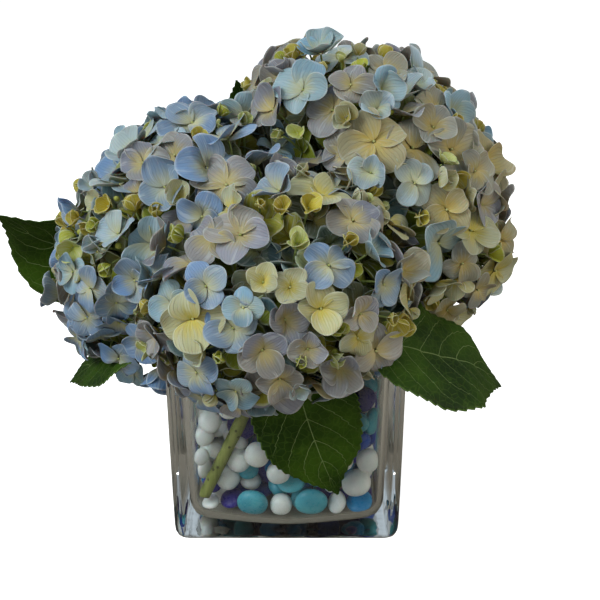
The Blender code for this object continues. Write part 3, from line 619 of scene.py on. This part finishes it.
# ------------------------------------------------------- stems and stalks
def tubes(lines, radii, sides):
    """Points (n, steps, sides, 3) of round bars: each ring lies across its line, at the radius given
    there."""
    ahead = np.concatenate([lines[:, 1:], lines[:, -1:]], axis=1)
    behind = np.concatenate([lines[:, :1], lines[:, :-1]], axis=1)
    along = unit(ahead - behind)
    guide = np.where(np.abs(along[..., 0:1]) > 0.9, np.array([0.0, 1.0, 0.0]), np.array([1.0, 0.0, 0.0]))
    first = unit(guide - along * (guide * along).sum(axis=-1, keepdims=True))
    second = np.cross(along, first)
    angle = np.linspace(0, 2 * math.pi, sides, endpoint=False)[:, None]
    ring = first[:, :, None, :] * np.cos(angle) + second[:, :, None, :] * np.sin(angle)
    return lines[:, :, None, :] + ring * radii[:, :, None, None]


def make_stems(material):
    """Each stem is a tube along its curve, thicker at the foot and at its joints, and cut off at a slant."""
    for name, points in STEMS.items():
        line = curve_through(points, 60)
        t = np.linspace(0, 1, 60)
        radius = STEM_RADIUS[name] * (1 - 0.12 * t) * (1 + 0.10 * np.exp(-((t - 0.42) / 0.03) ** 2))
        radius = radius * (1 + 0.02 * np.sin(t * 55))
        radius[[0, -1]] = 0.02
        radius[1] *= 0.98
        line[0] = line[1]
        line[-1] = line[-2]
        rings = tubes(line[None], radius[None], 24)[0]
        slant = (rings[1] - line[1]) @ unit(np.array([1.0, 0.3, 0.0]))
        lift = unit(line[3] - line[1])
        rings[1] += lift * (slant[:, None] + STEM_RADIUS[name]) * 0.8
        rings[0] += lift * STEM_RADIUS[name] * 0.8
        made = piece("cut_stem_" + name, rings, grid_faces(60, 24, wrap=True), material, weld=True)
        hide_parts("stem_" + name)


# --------------------------------------------------------------------- leaves
def blade_width(width, share):
    """How wide a blade is along its length: a sine arch that is drawn in towards a slender tip."""
    ease = np.clip((share - 0.70) / 0.30, 0, 1)
    arch = np.sin(math.pi * share ** 0.88) ** 0.78
    return width * 1.04 * arch * (1 - 0.50 * ease ** 2 * (3 - 2 * ease))


def make_leaf(name, material):
    """One leaf as a sheet: a stalk that widens into an oval blade whose teeth point at the tip. Across the
    blade it
    is a shallow trough; between the side veins it swells, and its rim waves."""
    points, width, face = LEAVES[name]
    rows, columns = 170, 21
    line = curve_through(points, rows)
    along = unit(np.gradient(line, axis=0))
    side = unit(np.cross(along, unit(face)))
    normal = np.cross(side, along)
    t = np.linspace(0, 1, rows)
    share = np.clip((t - 0.29) / 0.71, 0, 1)
    blade = blade_width(width, share)
    teeth = (share * 23) % 1
    saw = np.where((share > 0.07) & (share < 0.97), teeth ** 0.8 - 0.45, 0.0)
    half = np.maximum(1.6 * (1 - 0.55 * share), blade / 2 + 1.6 * saw)
    v = np.linspace(-1, 1, columns)
    v = np.sign(v) * np.abs(v) ** 0.85
    lean = share[:, None] * 8 - 2.4 * np.abs(v)[None] ** 1.25
    swell = np.abs(np.sin(math.pi * lean)) ** 0.7 * np.minimum(1, blade[:, None] / 20) * (1 - np.abs(v) ** 4)
    trough = 0.10 * half[:, None] * (np.abs(v) - 0.8 * v ** 2)
    rim = 1.1 * np.sin(share[:, None] * 21 + np.sign(v)
                       * 1.4) * np.abs(v) ** 3 * np.minimum(1, blade / 25)[:, None]
    rise = trough + 0.75 * swell + rim
    surface = line[:, None] + side[:, None] * (half[:, None] * v)[..., None] + normal[:, None] * rise[...,
                                                                                                      None]
    uv = np.stack(np.broadcast_arrays((v + 1)[None] / 2, share[:, None]), axis=-1)
    made = piece("blade_" + name, surface, grid_faces(rows, columns), material, uv=uv)
    thicken(made, 0.5, 0)
    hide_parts(name)


# -------------------------------------------------------------------- florets
def golden(count, turn):
    """Directions spread evenly over a ball along a golden-angle spiral."""
    k = np.arange(count) + 0.5
    z = 1 - 2 * k / count
    angle = k * math.pi * (3 - math.sqrt(5)) + turn
    flat = np.sqrt(1 - z * z)
    return np.stack([flat * np.cos(angle), flat * np.sin(angle), z], axis=1)


def settle(directions, reach, fixed, rounds=80):
    """Push directions apart on the ball until neighbours are about as far apart as their reaches add up to.
    The first ones, as many as fixed says, hold still."""
    for _ in range(rounds):
        gap = directions[:, None] - directions[None]
        far = np.linalg.norm(gap, axis=-1) + np.eye(len(directions))
        short = np.clip((reach[:, None] + reach[None]) - far, 0, None)
        np.fill_diagonal(short, 0)
        push = (gap / far[..., None] * short[..., None]).sum(axis=1) * 0.35
        push[:fixed] = 0
        directions = unit(directions + push)
    return directions


def in_the_clear(points, head):
    """Whether points of a head keep to its own side of the other heads and stay out of the vase."""
    centre, radii, _ = (np.array(item) for item in HEADS[head])
    clear = ~((np.abs(points[:, 0]) < 65) & (np.abs(points[:, 1]) < 65) & (points[:, 2] < 131))
    for other, (spot, size, _) in HEADS.items():
        if other != head:
            way = np.array(spot) - centre
            share = radii.sum() / (radii.sum() + sum(size))
            clear &= (points - centre) @ unit(way) < np.linalg.norm(way) * share + 3.0
    return clear


def sepals(rng, size, opening, curl, ruffle, petals=4, rows=6, columns=5):
    """Points (count, petals, rows, columns, 3) in millimetres of florets that face +Z.
    The midline of a sepal is an arc: it leaves the heart at an angle a, the opening, and its angle grows to
    a + k at the tip, so y = L (sin(a + k u) - sin a) / k and z = L (cos a - cos(a + k u)) / k for u from the
    claw
    to the tip. The half width follows an ellipse. Across it, v, the sides rise with v squared; waves ruffle
    it, and
    each sepal is rolled a little about its midline, so that one side lies over its neighbour."""
    count = len(size)
    u = np.linspace(0.03, 1, rows)[None, None, :, None]
    v = np.linspace(-1, 1, columns)[None, None, None, :]

    def spread(low, high):
        return rng.uniform(low, high, (count, petals))[..., None, None]

    length = size[:, None, None, None] / 2 * spread(0.84, 1.08)
    bulge = np.sqrt(np.clip(1 - ((u - 0.56) / 0.545) ** 2, 0, 1))
    half = length * spread(0.50, 0.60) * np.maximum(bulge, 0.14)
    tip = 1 - 0.11 * v ** 2 * u ** 2 + 0.035 * (1 - np.abs(v)) * u ** 6
    start = opening[:, None, None, None] + spread(-0.16, 0.22)
    bend = curl[:, None, None, None] + spread(-0.45, 0.35)
    bend = np.where(np.abs(bend) < 0.05, 0.05, bend)
    angle = start + bend * u
    y = length * tip * (np.sin(angle) - np.sin(start)) / bend
    z = length * tip * (np.cos(start) - np.cos(angle)) / bend
    waves = ruffle[:, None, None, None] * length
    lift = half * spread(-0.05, 0.62) * v ** 2 + half * np.tan(spread(-0.40, 0.34)) * v * u
    lift = lift + waves * np.sin(2.8 * v + spread(0, 6.28)) * u ** 1.5 * 0.6
    lift = lift + waves * np.sin(5.0 * u + spread(0, 6.28)) * v * u * 0.6
    lift = lift + length * 0.03 * (1 - 2 * (np.arange(petals) % 2))[None, :, None, None]
    x = half * v + waves * 0.6 * np.sin(3.5 * u + spread(0, 6.28)) * u
    y = y - lift * np.sin(angle)
    z = z + lift * np.cos(angle)
    turn = (np.arange(petals) * 2 * math.pi / petals)[None, :, None, None] + spread(-0.17, 0.17)
    turn = turn + rng.uniform(0, 2 * math.pi, count)[:, None, None, None]
    return np.stack([x * np.cos(turn) - y * np.sin(turn), x * np.sin(turn) + y * np.cos(turn), z], axis=-1)


def make_florets(head, materials):
    """All florets of one head: placed on its dome, turned outward with a little scatter, and made in
    batches."""
    rng = np.random.default_rng(SEEDS[head])
    centre, radii, axis = (np.array(item) for item in HEADS[head])
    turned = head_frame(axis)
    mean = radii.mean()
    count = int(4 * math.pi * mean ** 2 / FLORET_AREA)
    kind = rng.choice(["large", "medium", "small"], count, p=(0.26, 0.36, 0.38)).astype(object)
    size = pick(rng, kind, 0)
    opening, curl = pick(rng, kind, 1), pick(rng, kind, 2)
    depth = np.where(kind == "small", rng.uniform(0.90, 0.97, count), rng.uniform(0.84, 0.97, count))
    tints = np.array(HEAD_TINTS[head])[rng.integers(0, 8, count)]
    tints = np.where(kind == "small", rng.choice(["yellow", "green", "lime", "yellow", "cream"], count),
                     tints)
    tints = tints.astype(object)
    directions = golden(count, 1.0)
    shown = SHOWN[head]
    bearing, height = np.radians(np.array([item[:2] for item in shown])).T
    seen = np.stack([np.sin(bearing) * np.cos(height), -np.cos(bearing) * np.cos(height), np.sin(height)],
                    axis=1)
    seen = unit((seen @ turned) / radii)
    nearest = []
    for way in seen:
        order = np.argsort(-(directions @ way))
        nearest.append(next(index for index in order if index not in nearest))
    rest = np.setdiff1d(np.arange(count), nearest)
    order = np.concatenate([nearest, rest]).astype(int)
    directions = np.concatenate([seen, directions[rest]])
    size, opening, curl, depth, tints, kind = (values[order]
                                               for values in (size, opening, curl, depth, tints, kind))
    first = len(shown)
    size[:first], opening[:first], curl[:first] = np.array([(item[2], item[4], item[5]) for item in shown]).T
    tints[:first] = [item[3] for item in shown]
    kind[:first] = np.where(size[:first] < SMALL, "small", np.where(size[:first] < MEDIUM, "medium", "large"))
    depth[:first] = np.where(size[:first] < SMALL, 0.98, 0.95)
    directions = settle(directions, size / 2 / mean * FLORET_REACH, first)
    outward = unit((directions / radii) @ turned.T)
    places = centre + (directions * radii * depth[:, None]) @ turned.T * swell(head, outward)
    scatter = np.array([KINDS[name][4] for name in kind])[:, None]
    tilt = unit(outward + rng.normal(0, 1, (count, 3)) * scatter)
    tilt[:first] = unit(outward[:first] + rng.normal(0, 0.08, (first, 3)) + TO_VIEWER * unit(VIEWER))
    tilt = np.where(((tilt * outward).sum(axis=1) < 0.35)[:, None], outward, tilt)
    keep = in_the_clear(places, head)
    build_batch(head, "outer", *(values[keep] for values in (places, tilt, size, kind, tints, opening, curl)),
                rng,
                materials, 1)
    inner = golden(int(count * INNER_SHARE), 2.0)
    count = len(inner)
    outward = unit((inner / radii) @ turned.T)
    places = centre + (inner * radii * rng.uniform(0.66, 0.78, (count, 1))) @ turned.T * swell(head, outward)
    kind = np.full(count, "inner")
    tints = rng.choice(["green", "grey", "yellow", "cream", "blue"], count)
    keep = in_the_clear(places, head)
    size, opening, curl = (pick(rng, kind, column) for column in range(3))
    tilt = unit(outward + rng.normal(0, 0.45, (count, 3)))
    build_batch(head, "inner", *(values[keep] for values in (places, tilt, size, kind, tints, opening, curl)),
                rng,
                materials, 0)
    make_buds(head, turned, rng, materials["bud"])


def swell(head, ways):
    """How far out the head reaches along each direction from its centre, as a share of its oval. Each entry
    of
    the table adds its share, which fades away from its own direction."""
    total = np.ones(len(ways))
    for bearing, height, share in SWELLS[head]:
        b, h = math.radians(bearing), math.radians(height)
        peak = np.array([math.sin(b) * math.cos(h), -math.cos(b) * math.cos(h), math.sin(h)])
        total += share * np.exp((ways @ peak - 1) / 0.22)
    return total[:, None]


def pick(rng, kinds, column):
    """A random value for each floret between the two that its kind has in the given column."""
    low, high = np.array([KINDS[kind][column] for kind in kinds]).T
    return rng.uniform(low, high)


def make_buds(head, turned, rng, material):
    """Unopened buds: small balls on short stalks between the florets."""
    centre, radii = np.array(HEADS[head][0]), np.array(HEADS[head][1])
    around = golden(BUDS, 0.4)
    around = unit(around + rng.normal(0, 0.14, around.shape))
    places = centre + (around * radii * rng.uniform(0.84, 0.92, (len(around), 1))) @ turned.T * swell(head,
                                                                                                      around)
    places = places[in_the_clear(places, head)]
    ball, quads = round_cube(2)
    size = rng.uniform(1.3, 2.3, len(places))[:, None, None] * np.array([1.0, 1.0, 1.15])
    turns = turn_to(unit(places - centre))
    points = np.einsum("gij,gpj->gpi", turns, ball[None] * size) + places[:, None, :]
    faces = on_each(quads, len(ball), len(places))
    made = piece(head + "_buds", points, faces, material, weld=True)
    refine(made, 1)
    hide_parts(head + "_head_florets")


def build_batch(head, layer, places, tilt, size, kind, tints, opening, curl, rng, materials, levels):
    """Sepals, hearts and stalks of a set of florets, as a few pieces per head."""
    count = len(places)
    local = sepals(rng, size, opening, curl, pick(rng, kind, 3))
    points = np.einsum("fij,fprcj->fprci", turn_to(tilt), local) + places[:, None, None, None, :]
    shape = points.shape[1:4]
    heart = np.array([TINTS[name][0] for name in tints])[:, None] * rng.uniform(0.80, 1.12,
                                                                                (count, shape[0], 1))
    edge = np.array([TINTS[name][1] for name in tints])[:, None] * rng.uniform(0.74, 1.14,
                                                                               (count, shape[0], 1))
    edge = edge + (heart - edge) * rng.uniform(0.0, 0.35, (count, shape[0], 1))
    # Inner florets are darker and greener. The green is partly their own younger colour; the darkening is
    # painted shade for the deep gaps under the outer florets.
    if layer == "inner":
        heart, edge = heart * np.array([0.58, 0.63, 0.48]), edge * np.array([0.53, 0.60, 0.43])
    uv = np.stack(np.broadcast_arrays(np.linspace(0, 1, shape[2])[None, :],
                                      np.linspace(0, 1, shape[1])[:, None]),
                  axis=-1)
    parts = 6 if layer == "outer" else 2
    for part in range(parts):
        some = np.arange(count) % parts == part
        n = int(some.sum())
        full = (n, *shape, 3)
        made = piece(head + "_florets_" + layer + "_" + str(part + 1), points[some],
                     grid_faces(shape[1], shape[2], copies=n * shape[0]), materials["sepal"],
                     uv=np.broadcast_to(uv, (n, shape[0], *uv.shape)),
                     colours={"heart": np.broadcast_to(heart[some][:, :, None, None], full),
                              "edge": np.broadcast_to(edge[some][:, :, None, None], full)})
        thicken(made, 0.35, levels)
        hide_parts(head + "_head_florets")
    centre = np.array(HEADS[head][0])
    root = centre - head_frame(HEADS[head][2]) @ np.array([0, 0, HEADS[head][1][2] * 0.45])
    inward = unit(root - places)
    steps = np.linspace(0, 1, 6)[None, :, None]
    long = 26.0 + rng.uniform(-3, 5, (count, 1, 1))
    path = places[:, None] - tilt[:, None] * 1.0 * (1 - steps) - tilt[:, None] * long * 0.45 * steps
    path = path + inward[:, None] * long * 0.75 * steps ** 2
    thick = np.broadcast_to(np.array([0.5, 0.55, 0.6, 0.7, 0.8, 0.9])[None], (count, 6))
    stalks = piece(head + "_stalks_" + layer, tubes(path, thick, 6),
                   grid_faces(6, 6, copies=count, wrap=True),
                   materials["stalk"])
    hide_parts(head + "_head_branches")
    if layer == "outer":
        ball, quads = round_cube(1)
        grow = (size * 0.030 + 0.55)[:, None, None]
        points = (places + tilt * 0.9)[:, None] + ball[None] * grow
        faces = on_each(quads, len(ball), count)
        bead = piece(head + "_floret_hearts", points, faces, materials["bead"], weld=True)
        refine(bead, 1)
        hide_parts(head + "_head_florets")


# ------------------------------------------------------------------- assembly
make_vase(glass_material())
make_gems({
    "white": gem_material("white", (0.80, 0.81, 0.78, 1.0), (0.66, 0.69, 0.68, 1.0)),
    "turquoise": gem_material("turquoise", (0.09, 0.42, 0.50, 1.0), (0.05, 0.31, 0.41, 1.0)),
    "sky_blue": gem_material("sky_blue", (0.015, 0.27, 0.55, 1.0), (0.008, 0.19, 0.45, 1.0)),
    "royal_blue": gem_material("royal_blue", (0.015, 0.08, 0.42, 1.0), (0.008, 0.04, 0.28, 1.0)),
    "cobalt": gem_material("cobalt", (0.035, 0.025, 0.26, 1.0), (0.02, 0.013, 0.14, 1.0)),
})
make_stems(stem_material("stem_skin", (0.14, 0.17, 0.035, 1.0), (0.27, 0.29, 0.08, 1.0), 0.85))
stalk = stem_material("stalk_skin", (0.16, 0.22, 0.05, 1.0), (0.30, 0.36, 0.12, 1.0), 0.2)
leaf_skin = leaf_material(leaf_vein_group())
for leaf in LEAVES:
    make_leaf(leaf, leaf_skin)
bead_skin = stem_material("heart_skin", (0.30, 0.34, 0.10, 1.0), (0.50, 0.50, 0.22, 1.0), 0.1)
bud_skin = stem_material("bud_skin", (0.26, 0.30, 0.03, 1.0), (0.46, 0.48, 0.10, 1.0), 0.1)
petal = sepal_material(fan_group())
for head in HEADS:
    make_florets(head, {"sepal": petal, "stalk": stalk, "bead": bead_skin, "bud": bud_skin})


# ---------------------------------------------------------------------- stage
def make_stage():
    """A pale floor, a soft cool light from the left, a weaker warm one from the right, and the camera."""
    floor = bpy.data.meshes.new("floor")
    floor.from_pydata([(x, y, -0.0005) for x, y in ((-4, -4), (4, -4), (4, 4), (-4, 4))], [], [(0, 1, 2, 3)])
    ground = bpy.data.objects.new("floor", floor)
    bpy.context.scene.collection.objects.link(ground)
    material, tree, shader = finish_material("pale_floor", Roughness=0.9)
    path = put(tree, "LightPath")
    seen = path.outputs["Is Camera Ray"]
    tree.links.new(blend(tree, seen, (0.22, 0.19, 0.15, 1.0), (0.85, 0.85, 0.85, 1.0)),
                   shader.inputs["Base Color"])
    tree.links.new(sums(tree, "MULTIPLY", seen, 0.80), shader.inputs["Emission Strength"])
    shader.inputs["Emission Color"].default_value = (1.0, 1.0, 1.0, 1.0)
    floor.materials.append(material)
    world = bpy.data.worlds.new("studio")
    bpy.context.scene.world = world
    world.use_nodes = True
    tree = world.node_tree
    tree.nodes.clear()
    seen = put(tree, "Background", (1.0, 1.0, 1.0, 1.0), 1.0).outputs[0]
    way = put(tree, "TexCoord").outputs["Generated"]
    height = put(tree, "SeparateXYZ", way).outputs[2]
    tone = blend(tree, smooth_step(tree, height, -0.1, 0.75), (0.115, 0.105, 0.085, 1.0),
                 (0.40, 0.46, 0.52, 1.0))
    bands = put(tree, "TexNoise", put(tree, "Mapping", way, Scale=(7.0, 7.0, 0.8)).outputs[0], Scale=1.0,
                Detail=2.0).outputs[0]
    tone = blend(tree, 1.0, tone, blend(tree, smooth_step(tree, bands, 0.35, 0.65), (0.45, 0.43, 0.40, 1.0),
                                        (1.4, 1.4, 1.4, 1.0)), "MULTIPLY")
    room = put(tree, "Background", tone, 1.0).outputs[0]
    mixed = put(tree, "MixShader", put(tree, "LightPath").outputs["Is Camera Ray"], room, seen)
    tree.links.new(mixed.outputs[0], put(tree, "OutputWorld").inputs["Surface"])
    for name, place, size, power, colour in (
            ("window", (-0.75, -0.55, 0.95), 0.70, 10.6, (0.93, 0.97, 1.0)),
            ("fill", (0.9, -0.35, 0.55), 0.6, 3.4, (1.0, 0.90, 0.74)),
            ("front", (-0.25, -1.0, 0.22), 0.4, 1.5, (1.0, 0.98, 0.95)),
            ("back", (0.1, 0.9, 0.9), 0.6, 5.0, (1.0, 0.98, 0.92))):
        lamp = bpy.data.lights.new(name, "AREA")
        lamp.size = size
        lamp.energy = power
        lamp.color = colour
        light = bpy.data.objects.new(name, lamp)
        light.location = place
        light.rotation_euler = (Vector((0.0, 0.0, 0.15)) - Vector(place)).to_track_quat("-Z", "Y").to_euler()
        light.visible_glossy = name != "front"
        light.visible_transmission = False
        bpy.context.scene.collection.objects.link(light)
    lens = bpy.data.cameras.new("camera")
    lens.lens = CAMERA_LENS
    lens.sensor_width = 36.0
    camera = bpy.data.objects.new("camera", lens)
    camera.location = CAMERA_PLACE
    camera.rotation_euler = (math.radians(CAMERA_TILT), 0.0, 0.0)
    bpy.context.scene.collection.objects.link(camera)
    bpy.context.scene.camera = camera
    bpy.context.scene.view_settings.view_transform = "Standard"


make_stage()
